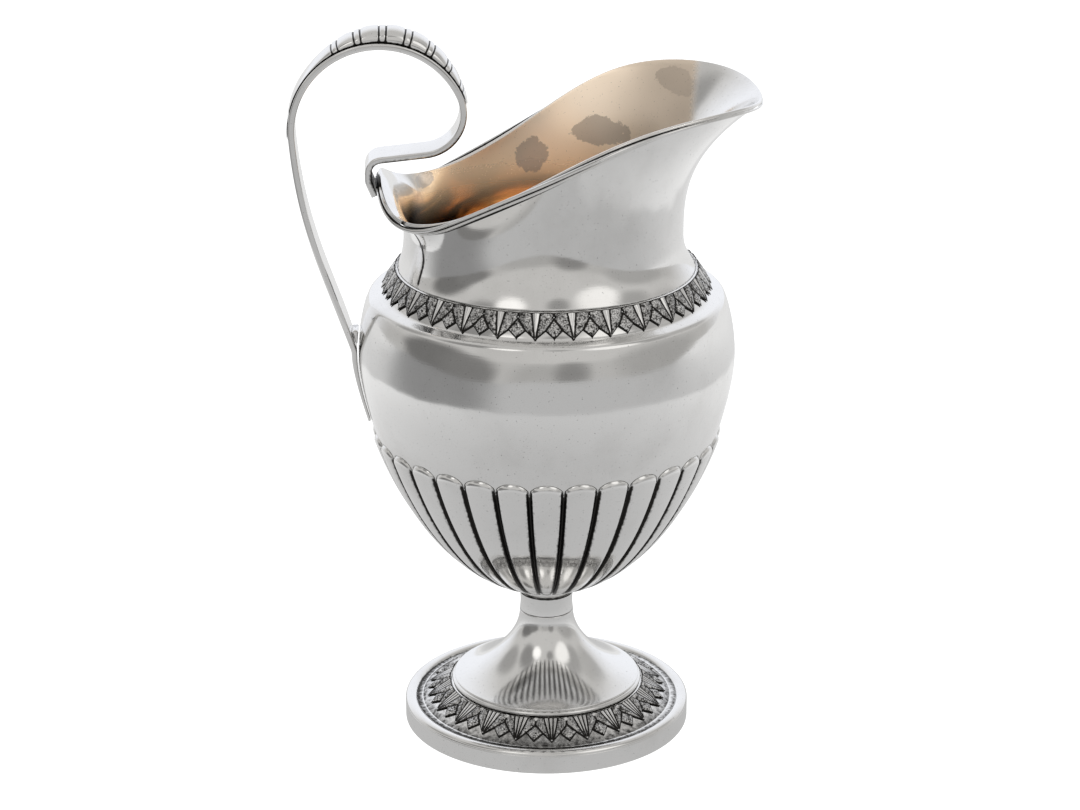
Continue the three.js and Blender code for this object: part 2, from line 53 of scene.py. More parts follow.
# A grid of points (rows, columns, xyz) becomes one closed skin of quads. Columns always run round and join
# up. Rows either join up too, or each end gets a fan to the middle of its row. Masks are stored per point.
def gridPiece(name, points, material, node, slot, capped=False, **masks):
    rows, columns = points.shape[:2]
    index = np.arange(rows * columns).reshape(rows, columns)
    index = np.concatenate([index, index[:, :1]], 1)
    if not capped:
        index = np.concatenate([index, index[:1]], 0)
    quads = np.stack([index[:-1, :-1], index[:-1, 1:], index[1:, 1:], index[1:, :-1]], -1).reshape(-1, 4)
    spots = points.reshape(-1, 3)
    fans = np.zeros((0, 3), int)
    if capped:
        first, last = rows * columns, rows * columns + 1
        spots = np.concatenate([spots, points[[0, -1]].mean(1)])
        low = np.stack([np.full(columns, first), index[0, 1:], index[0, :-1]], -1)
        high = np.stack([np.full(columns, last), index[-1, :-1], index[-1, 1:]], -1)
        fans = np.concatenate([low, high])
    corners = np.concatenate([quads[:, [0, 1, 2]], quads[:, [0, 2, 3]], fans])
    a, b, c = spots[corners[:, 0]], spots[corners[:, 1]], spots[corners[:, 2]]
    if np.einsum("ij,ij->i", a, np.cross(b, c)).sum() < 0:  # turn the skin right side out
        quads, fans = quads[:, ::-1], fans[:, ::-1]
    loops = np.concatenate([quads.ravel(), fans.ravel()])
    starts = np.concatenate([np.arange(len(quads)) * 4, quads.size + np.arange(len(fans)) * 3])
    mesh = bpy.data.meshes.new(name)
    mesh.vertices.add(len(spots))
    mesh.vertices.foreach_set("co", (spots * metre + (axisX, 0, 0)).ravel())
    mesh.loops.add(len(loops))
    mesh.loops.foreach_set("vertex_index", loops)
    mesh.polygons.add(len(starts))
    mesh.polygons.foreach_set("loop_start", starts)
    mesh.polygons.foreach_set("use_smooth", np.ones(len(starts), bool))
    for mask, values in masks.items():
        full = np.zeros(len(spots))
        full[:rows * columns] = np.broadcast_to(values, (rows, columns)).ravel()
        mesh.attributes.new(mask, "FLOAT", "POINT").data.foreach_set("value", full)
    mesh.update(calc_edges=True)
    mesh.validate()
    mesh.materials.append(material)
    piece = bpy.data.objects.new(name, mesh)
    scene.collection.objects.link(piece)
    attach(piece, "root")
    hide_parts(node)
    print(name, len(starts), "faces")


# Eases each corner of a closed outline into a short curve that touches both sides at the given distance
def softOutline(corners, ease, steps=4):
    corners = np.asarray(corners, float)
    before = np.roll(corners, 1, 0) - corners
    after = np.roll(corners, -1, 0) - corners
    cut = np.minimum(np.linalg.norm(before, axis=1), np.linalg.norm(after, axis=1))
    cut = np.minimum(ease, 0.45 * cut)[:, None]
    start = corners + before / np.linalg.norm(before, axis=1, keepdims=True) * cut
    end = corners + after / np.linalg.norm(after, axis=1, keepdims=True) * cut
    t = np.linspace(0, 1, steps + 1)[None, :, None]
    curve = (1 - t) ** 2 * start[:, None] + 2 * t * (1 - t) * corners[:, None] + t ** 2 * end[:, None]
    return curve.reshape(-1, 2)


# Solid of revolution: x = r cos a, y = r sin a, z along the outline's own height
def turned(outline, columns):
    angle = np.linspace(0, 2 * np.pi, columns, endpoint=False)
    r, z = outline[:, :1], outline[:, 1:]
    return np.stack([r * np.cos(angle), r * np.sin(angle), z + 0 * angle], -1)


# Eased step: 0 at low, 1 at high, three t squared less two t cubed between them
def smoothstep(low, high, value):
    t = np.clip((value - low) / (high - low), 0, 1)
    return t * t * (3 - 2 * t)


# Cubic curve from the first of four corners to the last, drawn toward the two between
def bezier(corners, count):
    t = np.linspace(0, 1, count)[:, None]
    a, b, c, d = np.asarray(corners, float)
    return (1 - t) ** 3 * a + 3 * t * (1 - t) ** 2 * b + 3 * t ** 2 * (1 - t) * c + t ** 3 * d


# Evenly spaced points on a line of points
def evenLine(line, count):
    run = np.concatenate([[0], np.cumsum(np.linalg.norm(np.diff(line, axis=0), axis=1))])
    at = np.linspace(0, run[-1], count)
    return np.stack([np.interp(at, run, line[:, k]) for k in range(line.shape[1])], -1)


# Smooth closed curve through a few points: cubic pieces whose slopes and bends agree at every point
def closedCurve(points, count):
    span = np.linalg.norm(np.roll(points, -1, 0) - points, axis=1) ** 0.5
    back = np.roll(span, 1)
    unit = np.eye(len(points))
    system = (unit * (2 / back + 2 / span)[:, None]
              + np.roll(unit, -1, 1) * (1 / back)[:, None]
              + np.roll(unit, 1, 1) * (1 / span)[:, None])
    rise = 3 * ((points - np.roll(points, 1, 0)) / back[:, None] ** 2
                + (np.roll(points, -1, 0) - points) / span[:, None] ** 2)
    slope = np.linalg.solve(system, rise)
    t = np.linspace(0, 1, 200, endpoint=False)[None, :, None]
    here, there = points[:, None], np.roll(points, -1, 0)[:, None]
    width = span[:, None, None]
    curve = ((2 * t ** 3 - 3 * t ** 2 + 1) * here + (t ** 3 - 2 * t ** 2 + t) * width * slope[:, None]
             + (3 * t ** 2 - 2 * t ** 3) * there + (t ** 3 - t ** 2) * width * np.roll(slope, -1, 0)[:, None])
    curve = curve.reshape(-1, 3)
    return evenLine(np.concatenate([curve, curve[:1]]), count + 1)[:-1]


# Material helpers

# A shader node with its links. A value goes to the input of that name, or else to the node itself.
def addNode(tree, kind, links=(), **values):
    node = tree.nodes.new(kind)
    for key, value in values.items():
        if key in node.inputs:
            node.inputs[key].default_value = value
        else:
            setattr(node, key, value)
    for socket, source in links:
        tree.links.new(source, node.inputs[socket])
    return node


# A sum, product or other step on numbers and sockets
def calc(tree, operation, *terms):
    node = addNode(tree, "ShaderNodeMath", operation=operation)
    for socket, term in zip(node.inputs, terms):
        if isinstance(term, (int, float)):
            socket.default_value = term
        else:
            tree.links.new(term, socket)
    return node.outputs[0]


# A step on a vector socket and, where the step needs one, a fixed second vector
def vectorCalc(tree, operation, vector, second=None):
    node = addNode(tree, "ShaderNodeVectorMath", [(0, vector)], operation=operation)
    if second:
        node.inputs[1].default_value = second
    return node.outputs["Value" if operation in ("DOT_PRODUCT", "LENGTH") else "Vector"]


# Soft step from one value to another while the input goes from low to high
def ramp(tree, value, low, high, first=0.0, last=1.0):
    node = addNode(tree, "ShaderNodeMapRange", [("Value", value)], interpolation_type="SMOOTHSTEP")
    for name, number in zip(("From Min", "From Max", "To Min", "To Max"), (low, high, first, last)):
        node.inputs[name].default_value = number
    return node.outputs[0]


def noise(tree, place, scale, detail, rough=0.5):
    return addNode(tree, "ShaderNodeTexNoise", [("Vector", place)], Scale=scale, Detail=detail,
                   Roughness=rough).outputs[0]


# Mix of two tones, each a colour or a socket
def tint(tree, share, first, second):
    node = addNode(tree, "ShaderNodeMix", [("Factor", share)], data_type="RGBA")
    for socket, tone in ((node.inputs[6], first), (node.inputs[7], second)):
        if isinstance(tone, tuple):
            socket.default_value = tone
        else:
            tree.links.new(tone, socket)
    return node.outputs[2]


def attribute(tree, name):
    return addNode(tree, "ShaderNodeAttribute", attribute_name=name).outputs["Fac"]


# Finishes

wearShadeSettings = {"cloud": (45.0, 5.0, 0.6), "veil": (0.42, 0.74), "grit": (900.0, 3.0, 0.6), "gritShare": 0.5,
        "darkens": (0.57, 0.9), "speck": (2300.0, 1.0), "speckTone": (0.7, 0.8, 0.0, 0.55),
        "levelScratch": (60, 60, 2600), "steepScratch": (90, 2200, 90), "steepTurn": (0.5, 0.9, 0.3),
        "cloudRough": 0.06, "scratchRough": 0.03, "tarnishShadeRough": 0.25,
        "wave": (34.0, 1.5, 0.4), "waveHeight": 1.7, "scratchHeight": 0.008, "depth": 0.0006}


# Shared effect: hand-worn metal and painted shade. The recess mask holds both tarnish and painted shade;
# the dark is ragged where the mask fades and comes back as specks, Veil is a thin cloudy film, fine scratches
# break up the polish, and Height holds them and the sheet's soft waves.
def wearAndShadeGroup():
    group = bpy.data.node_groups.new("wearAndShade", "ShaderNodeTree")
    sockets = {"Place": "NodeSocketVector", "Recess": "NodeSocketFloat", "Polish": "NodeSocketFloat"}
    for name, kind in sockets.items():
        group.interface.new_socket(name, in_out="INPUT", socket_type=kind)
    for name in ("TarnishAndShade", "Veil", "Roughness", "Height"):
        group.interface.new_socket(name, in_out="OUTPUT", socket_type="NodeSocketFloat")
    source = group.nodes.new("NodeGroupInput")
    result = group.nodes.new("NodeGroupOutput")
    place = source.outputs["Place"]
    cloud = noise(group, place, *wearShadeSettings["cloud"])
    grit = noise(group, place, *wearShadeSettings["grit"])
    level = addNode(group, "ShaderNodeMapping", [("Vector", place)], Scale=wearShadeSettings["levelScratch"]).outputs[0]
    steep = addNode(group, "ShaderNodeMapping", [("Vector", place)], Rotation=wearShadeSettings["steepTurn"],
                    Scale=wearShadeSettings["steepScratch"]).outputs[0]
    scratch = calc(group, "ADD", noise(group, level, 1.0, 3.0), noise(group, steep, 1.0, 2.0))
    gritty = calc(group, "MULTIPLY_ADD", grit, wearShadeSettings["gritShare"], source.outputs["Recess"])
    specks = ramp(group, noise(group, place, *wearShadeSettings["speck"]), *wearShadeSettings["speckTone"])
    tarnishAndShade = calc(group, "MAXIMUM", ramp(group, gritty, *wearShadeSettings["darkens"]), specks)
    polish = calc(group, "MULTIPLY_ADD", cloud, wearShadeSettings["cloudRough"], source.outputs["Polish"])
    polish = calc(group, "MULTIPLY_ADD", scratch, wearShadeSettings["scratchRough"], polish)
    waves = calc(group, "MULTIPLY", noise(group, place, *wearShadeSettings["wave"]), wearShadeSettings["waveHeight"])
    results = {"TarnishAndShade": tarnishAndShade, "Veil": ramp(group, cloud, *wearShadeSettings["veil"]),
               "Roughness": calc(group, "MULTIPLY_ADD", tarnishAndShade, wearShadeSettings["tarnishShadeRough"], polish),
               "Height": calc(group, "MULTIPLY_ADD", scratch, wearShadeSettings["scratchHeight"], waves)}
    for name, socket in results.items():
        group.links.new(socket, result.inputs[name])
    return group


wearAndShade = wearAndShadeGroup()

silverTones = {"bright": (0.93, 0.925, 0.915, 1), "veiled": (0.76, 0.75, 0.735, 1), "veil": 0.5,
               "tarnishedAndShaded": (0.032, 0.03, 0.028, 1)}
gilding = {"tone": (0.94, 0.79, 0.63, 1), "deep": (0.95, 0.7, 0.45, 1), "deepLevels": (0.144, 0.17),
           "stain": (0.54, 0.45, 0.36, 1), "stainEdge": (0.62, 0.68), "raggedReflection": (260.0, 4.0, 0.7),
           "ragged": 0.9, "thin": (0.5, 0.42, 0.34, 1), "thinAlong": (0.018, 0.046), "thinMost": 0.75,
           "satinLevels": (0.138, 0.156), "satinRough": 0.18, "satinDull": 0.48}
punching = {"scale": 2300.0, "dark": 0.42, "depth": 0.3}


# Bright silver with the shared wear and painted shade. A gilt lining is richer low down, worn thin toward
# the lip, with painted dark reflections as ragged spots. A matted ground is punched, with a dark rim round
# each dot.
def silverFinish(name, polish, gilded=False, matted=False):
    material = bpy.data.materials.new(name)
    material.use_nodes = True
    tree = material.node_tree
    shader = tree.nodes["Principled BSDF"]
    shader.inputs["Metallic"].default_value = 1.0
    place = tree.nodes.new("ShaderNodeTexCoord").outputs["Object"]
    recess = attribute(tree, "recess")
    if matted:
        dots = addNode(tree, "ShaderNodeTexVoronoi", [("Vector", place)], Scale=punching["scale"])
        stipple = calc(tree, "MULTIPLY", attribute(tree, "matted"), dots.outputs["Distance"])
        recess = calc(tree, "MULTIPLY_ADD", stipple, punching["dark"], recess)
    # The group's dark output is tarnish and painted shade together, taken from the recess mask
    wearAndShadeNode = addNode(tree, "ShaderNodeGroup", [("Place", place), ("Recess", recess)], node_tree=wearAndShade)
    wearAndShadeNode.inputs["Polish"].default_value = polish
    veil = calc(tree, "MULTIPLY", wearAndShadeNode.outputs["Veil"], silverTones["veil"])
    clean = tint(tree, veil, silverTones["bright"], silverTones["veiled"])
    rough = wearAndShadeNode.outputs["Roughness"]
    height = wearAndShadeNode.outputs["Height"]
    if gilded:
        gilt = attribute(tree, "gilt")
        axes = addNode(tree, "ShaderNodeSeparateXYZ", [("Vector", place)])
        deep = ramp(tree, axes.outputs["Z"], *gilding["deepLevels"], 1.0, 0.0)
        # Painted reflection: ragged darker spots on the lining's far wall
        raggedReflection = calc(tree, "MULTIPLY_ADD", noise(tree, place, *gilding["raggedReflection"]), gilding["ragged"],
                    attribute(tree, "stain"))
        thin = ramp(tree, axes.outputs["X"], *gilding["thinAlong"], 0.0, gilding["thinMost"])
        lining = tint(tree, deep, gilding["tone"], gilding["deep"])
        lining = tint(tree, ramp(tree, raggedReflection, *gilding["stainEdge"]), lining, gilding["stain"])
        clean = tint(tree, gilt, clean, tint(tree, thin, lining, gilding["thin"]))
        satin = calc(tree, "MULTIPLY", gilt, ramp(tree, axes.outputs["Z"], *gilding["satinLevels"]))
        rough = calc(tree, "MULTIPLY_ADD", satin, gilding["satinRough"], rough)
        metallic = calc(tree, "MULTIPLY_ADD", satin, -gilding["satinDull"], 1.0)
        tree.links.new(metallic, shader.inputs["Metallic"])
    if matted:
        height = calc(tree, "MULTIPLY_ADD", stipple, punching["depth"], height)
    # Tarnish and painted shade darken the colour
    tone = tint(tree, wearAndShadeNode.outputs["TarnishAndShade"], clean, silverTones["tarnishedAndShaded"])
    bump = addNode(tree, "ShaderNodeBump", [("Height", height)], Strength=1.0, Distance=wearShadeSettings["depth"])
    tree.links.new(tone, shader.inputs["Base Color"])
    tree.links.new(rough, shader.inputs["Roughness"])
    tree.links.new(bump.outputs[0], shader.inputs["Normal"])
    return material


polishedSilver = silverFinish("polishedSilver", 0.05)
giltLined = silverFinish("giltLinedSilver", 0.05, gilded=True)
chasedSilver = silverFinish("chasedSilver", 0.12, matted=True)
print("finishes made")


# Foot: an upright band, the dished plate on it, a half-round ring and the trumpet

foot = {"radius": 40.0, "bandHeight": 5.2, "bandWall": 1.4, "bandEase": 0.25, "rollHeight": 1.3,
        "rollWidth": 3.4, "rollTurn": 165, "grooveWidth": 1.5, "grooveFloor": 5.7, "slopeTop": 10.6,
        "slopeWidth": 8.4, "flangeWidth": 2.4, "plateWall": 1.0, "plateEase": 0.3, "gap": 0.15,
        "columns": 256, "slopeShade": 0.55}
grooveOuter = foot["radius"] - foot["rollWidth"]
slopeOuter = grooveOuter - foot["grooveWidth"]
slopeInner = slopeOuter - foot["slopeWidth"]
flangeInner = slopeInner - foot["flangeWidth"]
bandInner = foot["radius"] - foot["bandWall"]
bandOutline = softOutline([[bandInner, 0], [foot["radius"], 0], [foot["radius"], foot["bandHeight"]],
                           [bandInner, foot["bandHeight"]]], foot["bandEase"])
gridPiece("footBand", turned(bandOutline, foot["columns"]), polishedSilver, "foot_edge_band",
          "polished_silver", recess=0.0)

roll = np.linspace(0, np.radians(foot["rollTurn"]), 16)
rollLine = np.stack([foot["radius"] - foot["rollWidth"] / 2 * (1 - np.cos(roll)),
                     foot["bandHeight"] + foot["rollHeight"] * np.sin(roll)], -1)
grooveUnder = foot["grooveFloor"] - foot["plateWall"]
slopeUnder = foot["slopeTop"] - foot["plateWall"]
seatEdge = bandInner - foot["gap"]
plateLine = [[grooveOuter, foot["grooveFloor"]], [slopeOuter, foot["grooveFloor"]],
             [slopeInner, foot["slopeTop"]], [flangeInner, foot["slopeTop"]], [flangeInner, slopeUnder],
             [slopeInner, slopeUnder], [slopeOuter, grooveUnder], [seatEdge, grooveUnder],
             [seatEdge, foot["bandHeight"]]]
plateOutline = softOutline(np.concatenate([rollLine, plateLine]), foot["plateEase"])
plateRadius = plateOutline[:, 0]
onTop = plateOutline[:, 1] > foot["grooveFloor"] - 0.2
# Painted shade: the groove ring, partly tarnish, is darkened most in front and to the left, and the slope is
# darkened toward its outer edge by the leaf tips.
grooveDark = onTop * np.exp(-((plateRadius - (grooveOuter - 0.5)) / 1.0) ** 2)
slopeShade = onTop * smoothstep(slopeInner + 3, slopeOuter, plateRadius) * (plateRadius < slopeOuter)
plateTurn = np.linspace(0, 2 * np.pi, foot["columns"], endpoint=False)
grooveShade = 0.72 + 0.2 * np.cos(plateTurn + 1.9) + 0.1 * np.sin(3 * plateTurn)  # most in front
gridPiece("footPlate", turned(plateOutline, foot["columns"]), polishedSilver, "foot_plate", "polished_silver",
          recess=np.maximum(grooveDark[:, None] * grooveShade, foot["slopeShade"] * slopeShade[:, None]))

ring = {"height": 1.6, "bulge": 1.3}
ringLow, ringTop = foot["slopeTop"], foot["slopeTop"] + ring["height"]
ringMiddle, ringHalf = (ringTop + ringLow) / 2, ring["height"] / 2
bulge = np.linspace(-np.pi / 2, np.pi / 2, 14)
ringFace = np.stack([slopeInner - ring["bulge"] * (1 - np.cos(bulge)),
                     ringMiddle + ringHalf * np.sin(bulge)], -1)
ringOutline = np.concatenate([ringFace, [[flangeInner, ringTop], [flangeInner, ringLow]]])
ringDark = smoothstep(-0.3, -1.2, np.concatenate([bulge, [0, 0]]))
gridPiece("pedestalRing", turned(ringOutline, foot["columns"]), polishedSilver, "pedestal_ring",
          "polished_silver", recess=ringDark[:, None])

trumpet = {"edge": 0.65, "lip": 0.4, "rise": 20.1, "flare": 6.8, "lift": 1.8, "draw": 9.8, "stem": 7.5,
           "wall": 1.0}
trumpetEdge = slopeInner - trumpet["edge"]
trumpetLow, trumpetTop = ringTop, ringTop + trumpet["rise"]
flareLine = bezier([[trumpetEdge, trumpetLow + trumpet["lip"]],
                    [trumpetEdge - trumpet["flare"], trumpetLow + trumpet["lip"] + trumpet["lift"]],
                    [trumpet["stem"], trumpetTop - trumpet["draw"]], [trumpet["stem"], trumpetTop]], 70)
inward = np.gradient(flareLine, axis=0)
inward = np.stack([-inward[:, 1], inward[:, 0]], -1) / np.linalg.norm(inward, axis=1, keepdims=True)
hollow = flareLine + inward * trumpet["wall"]
hollow = hollow[(hollow[:, 1] > trumpetLow + 0.05)][::-3]
trumpetFoot = [[trumpetEdge - 0.05, trumpetLow], [trumpetEdge, trumpetLow + 0.15]]
trumpetOutline = np.concatenate([trumpetFoot, flareLine, [[trumpet["stem"] - trumpet["wall"], trumpetTop]],
                                 hollow[1:], [[flangeInner, trumpetLow]]])
gridPiece("pedestal", turned(trumpetOutline, foot["columns"]), polishedSilver, "pedestal", "polished_silver",
          recess=0.0)

collar = {"top": 37.7, "radius": 7.5, "waist": 0.2, "wall": 1.3, "columns": 128, "seamDark": 0.8}
rise = np.linspace(0, 1, 24)
collarFace = np.stack([collar["radius"] - collar["waist"] * np.sin(np.pi * rise),
                       trumpetTop + (collar["top"] - trumpetTop) * rise], -1)
collarInner = collar["radius"] - collar["wall"]
collarOutline = np.concatenate([collarFace, [[collarInner, collar["top"]], [collarInner, trumpetTop]]])
seams = np.concatenate([np.exp(-(rise / 0.05) ** 2) + np.exp(-((1 - rise) / 0.05) ** 2), [0, 0]])
gridPiece("stemCollar", turned(collarOutline, collar["columns"]), polishedSilver, "stem_collar",
          "polished_silver", recess=collar["seamDark"] * seams[:, None])


# Body: a gadrooned egg below its widest level, then a dome up to the shoulder's edge and a cone

body = {"bossRadius": 7.3, "bossBottom": collar["top"], "bossHeight": 2.2, "belly": 51.6, "bellyLevel": 108.7,
        "depth": 69.6, "fullness": 1.55, "dome": 51.5, "shoulderLevel": 123.2, "edgeInset": 1.3,
        "edgeRise": 2.9, "ledgeRadius": 44.91, "ledgeLevel": 127.1, "neckRadius": 40.51, "neckLevel": 133.5,
        "wall": 1.0, "lobes": 32, "turn": -92.6, "lobeStart": 41.9, "lobeEnd": 87.5, "head": 3.4,
        "rise": 1.15, "groove": 0.35, "flat": 0.42, "edge": 0.72, "step": 0.9, "settle": 4.0,
        "slowWave": 0.05, "quickWave": 0.035, "waveInset": 0.145, "waveFrom": (88, 96), "grooveDark": 0.9,
        "haloShade": 0.37}


# Outer radius of the vase at a height: R sqrt(1 - q^n), with q the share of the depth below the widest level
def vaseRadius(z):
    below = np.clip((body["bellyLevel"] - z) / body["depth"], 0, 1)
    above = np.clip((z - body["bellyLevel"]) / body["dome"], 0, 1)
    return body["belly"] * np.sqrt(1 - below ** body["fullness"] - above ** 2)


# Columns of one lobe, closer together at the grooves: across is -1 in one groove and nearly 1 in the next
lobeHalf = np.array([0.14, 0.4, 0.58, 0.71, 0.79, 0.85, 0.905, 0.955])
lobeAcross = np.concatenate([[-1], -lobeHalf[::-1], lobeHalf])
acrossAll = np.tile(lobeAcross, body["lobes"])
lobeNumber = np.repeat(np.arange(body["lobes"]), len(lobeAcross))
bodyAngle = np.radians(body["turn"]) + (lobeNumber + acrossAll / 2) * 2 * np.pi / body["lobes"]
off = np.abs(acrossAll)
headDrop = body["head"] * (1 - np.sqrt(1 - off ** 2.2))

# Rows: up the lobe, over the step round its head, up to a level line, and up the plain belly
lobeShare = np.concatenate([np.linspace(0, 0.85, 30, endpoint=False), np.linspace(0.85, 1, 14)])[:, None]
lobeZ = body["lobeStart"] + lobeShare * (body["lobeEnd"] - headDrop - body["lobeStart"])
beyond = np.linspace(0, 1, 8)[1:, None]
stepZ = body["lobeEnd"] - headDrop + beyond * body["step"]
settleShare = np.linspace(0, 1, 10)[1:, None]
settleZ = stepZ[-1:] + settleShare * (body["lobeEnd"] + body["settle"] - stepZ[-1:])
bellyZ = np.linspace(body["lobeEnd"] + body["settle"], body["shoulderLevel"], 30)[1:, None] + 0 * headDrop
sideZ = np.concatenate([lobeZ, stepZ, settleZ, bellyZ])

panel = body["rise"] * (1 - body["flat"] * off ** 2)
cut = smoothstep(body["edge"], 1.0, off) ** 1.3
headGap = body["lobeEnd"] - headDrop - lobeZ
crown = np.sqrt(np.clip(headGap / 1.6, 0, 1))
lobeRelief = (panel * crown) * (1 - cut) - body["groove"] * cut * np.clip(headGap / 2.5, 0.15, 1)
stepRelief = -0.16 * np.exp(-((beyond - 0.12) / 0.25) ** 2) - 0.12 * cut * (1 - beyond)
relief = np.concatenate([lobeRelief, stepRelief, 0 * settleZ, 0 * bellyZ])
wave = (body["slowWave"] * np.sin(3 * bodyAngle + 0.09 * sideZ)
        + body["quickWave"] * np.sin(7 * bodyAngle - 0.16 * sideZ + 1.3) - body["waveInset"])
sideR = vaseRadius(sideZ) + relief + wave * smoothstep(*body["waveFrom"], sideZ)

# Tarnish and painted shade: the grooves are black, partly tarnish and partly painted shade, with a faint
# painted shade beside them for the lobes' roundness, and a dark line round the heads, partly painted shade
fromGroove = (1 - off) * np.pi * vaseRadius(lobeZ) / body["lobes"]  # mm along the side
lobeDark = np.maximum(body["grooveDark"] * smoothstep(1.25, 0.4, fromGroove),
                      body["haloShade"] * smoothstep(2.3, 1.0, fromGroove))
lobeDark = lobeDark * np.clip(headGap / 0.8, 0.5, 1) * smoothstep(0.01, 0.05, lobeShare)
stepDark = np.exp(-((beyond - 0.1) / 0.22) ** 2) * (0.55 + 0.4 * off)
sideDark = np.concatenate([lobeDark, stepDark, 0 * settleZ, 0 * bellyZ])

bossR, bossZ = body["bossRadius"], body["bossBottom"]
bossTop = bossZ + body["bossHeight"]
bossLine = np.array([[0.5, bossZ], [bossR - 0.4, bossZ], [bossR, bossZ + 0.4], [bossR + 0.15, bossZ + 1.2],
                     [bossR, bossTop], [bossR - 0.1, bossTop + 0.5], [bossR + 0.6, bossZ + 3.3]])
edgeR = vaseRadius(np.array([body["shoulderLevel"]]))[0] - body["edgeInset"]
edgeZ = body["shoulderLevel"] + body["edgeRise"]
edgeIn = np.array([edgeR + 0.45, edgeZ - 1.0])
edgeOut = np.array([edgeR - 0.9, edgeZ + 0.25])
t = np.linspace(0, 1, 9)[:, None]
edgeLine = (1 - t) ** 2 * edgeIn + 2 * t * (1 - t) * np.array([edgeR, edgeZ]) + t ** 2 * edgeOut
ledgeR, ledgeZ = body["ledgeRadius"], body["ledgeLevel"]
ledgeLine = [[ledgeR + 0.8, ledgeZ - 0.25], [ledgeR, ledgeZ], [ledgeR - 0.4, ledgeZ + 0.5],
             [body["neckRadius"], body["neckLevel"]]]
topLine = np.concatenate([edgeLine, ledgeLine])
innerZ = np.concatenate([np.linspace(body["shoulderLevel"] - 1, 60, 22), np.linspace(57, 42.6, 10)])
innerR = vaseRadius(innerZ) - body["wall"] - 0.25 * smoothstep(0, 21, body["bellyLevel"] - innerZ)
innerLine = np.concatenate([[[body["neckRadius"] - body["wall"], body["neckLevel"]],
                             [ledgeR - body["wall"], ledgeZ - body["wall"]]],
                            np.stack([innerR, innerZ], -1), [[5.0, 40.2], [0.5, 39.8]]])


# The same profile line on every meridian of the body, as radius and height
def everyMeridian(profile):
    return np.repeat(profile[:, None], len(acrossAll), 1)


profile = np.concatenate([everyMeridian(bossLine), np.stack([sideR, sideZ], -1), everyMeridian(topLine),
                          everyMeridian(innerLine)])
bodyR, bodyZ = profile[..., 0], profile[..., 1]
bodyDark, bodyGilt = np.zeros_like(bodyR), np.zeros_like(bodyR)
bodyDark[len(bossLine):len(bossLine) + len(sideR)] = sideDark
bodyGilt[-len(innerLine):] = 1.0
bodyGrid = np.stack([bodyR * np.cos(bodyAngle), bodyR * np.sin(bodyAngle), bodyZ], -1)
gridPiece("vaseBody", bodyGrid, giltLined, "body", "gilt_lined_silver", capped=True, recess=bodyDark,
          gilt=bodyGilt, stain=0.0)


# Neck: on each meridian the wall sweeps in from a round base to a throat, then flares to the rim line. The
# throat is pressed in and raised at both flanks.

neck = {"base": body["neckLevel"], "baseRadius": body["neckRadius"], "throat": 143.1, "throatRadius": 37.81,
        "setback": 0.9, "flankInset": 3.4, "flankRise": 7.5, "flankFocus": 8, "baseSweep": 2.2,
        "lipFlare": 2.7, "backFlare": 2.2, "wall": 1.0, "edgeRound": 0.3, "columns": 400,
        "ripples": (0.06, 0.04),
        "rim": [[57.3, 0, 46.6], [50.4, 22, 48.2], [22.7, 37.1, 45.1], [-9, 31.4, 29], [-35.2, 24.6, 18.5],
                [-43, 18, 21.2], [-45.2, 0, 25.8]]}
rimSide = np.array(neck["rim"]) + [0, 0, neck["base"]]
rimStations = np.concatenate([rimSide, rimSide[1:-1][::-1] * [1, -1, 1]])
rim = closedCurve(rimStations, neck["columns"])
rimAngle = np.arctan2(rim[:, 1], rim[:, 0])
rimWay = np.stack([np.cos(rimAngle), np.sin(rimAngle), 0 * rimAngle], -1)
flare = neck["backFlare"] + (neck["lipFlare"] - neck["backFlare"]) * (1 + np.cos(rimAngle)[:, None]) / 2
flank = np.abs(np.sin(rimAngle)) ** neck["flankFocus"]
throat = rimWay * (neck["throatRadius"] - neck["flankInset"] * flank)[:, None] - [neck["setback"], 0, 0]
throat[:, 2] = neck["throat"] + neck["flankRise"] * flank


# Points on the neck for levels from 0 at the base over 1 at the throat to 2 at the rim. Height goes evenly
# with the level, and the way out from the throat with a power of it. Levels are (rows, 1) or (rows, columns).
def neckWall(level):
    low, high = np.clip(level, 0, 1)[..., None], np.clip(np.asarray(level) - 1, 0, 1)[..., None]
    base = rimWay * neck["baseRadius"]
    spot = throat + (base - throat) * (1 - low) ** neck["baseSweep"] + (rim - throat) * high ** flare
    spot[..., 2:] = neck["base"] + (throat[:, 2:] - neck["base"]) * low + (rim - throat)[:, 2:] * high
    return spot


# Direction out of the neck's wall: along the wall turned a quarter in the plane of its meridian. Also the
# millimetres of wall in one level there.
def neckFacing(level, small=0.01):
    way = neckWall(level) - neckWall(level - small)
    out = (way * rimWay).sum(-1, keepdims=True)
    up = way[..., 2:]
    size = np.hypot(out, up)
    facing = rimWay * up / size
    facing[..., 2:] = -out / size
    return facing, size / small


outerLevels = np.concatenate([np.linspace(0, 1, 26, endpoint=False), np.linspace(1, 2, 56)])[:, None]
innerLevels = np.concatenate([np.linspace(2, 1, 30, endpoint=False), np.linspace(1, 0, 12)])[:, None]
outerWall = neckWall(outerLevels)
outerZ = outerWall[..., 2]
ripple = (neck["ripples"][0] * np.sin(3 * rimAngle + 0.11 * outerZ)
          + neck["ripples"][1] * np.sin(5 * rimAngle - 0.2 * outerZ))
calm = smoothstep(0, 0.3, outerLevels) * smoothstep(2, 1.8, outerLevels)
outerWall = outerWall + rimWay * (ripple * calm)[..., None]
innerWall = neckWall(innerLevels) - neckFacing(np.maximum(innerLevels, 0.05))[0] * neck["wall"]
innerWall[-1, :, 2] = neck["base"]
rimFacing, rimLength = neckFacing(np.array(2.0))
rimUp = np.cross(rimFacing, np.cross([0, 0, 1.0], rimFacing))
rimUp = rimUp / np.linalg.norm(rimUp, axis=-1, keepdims=True)
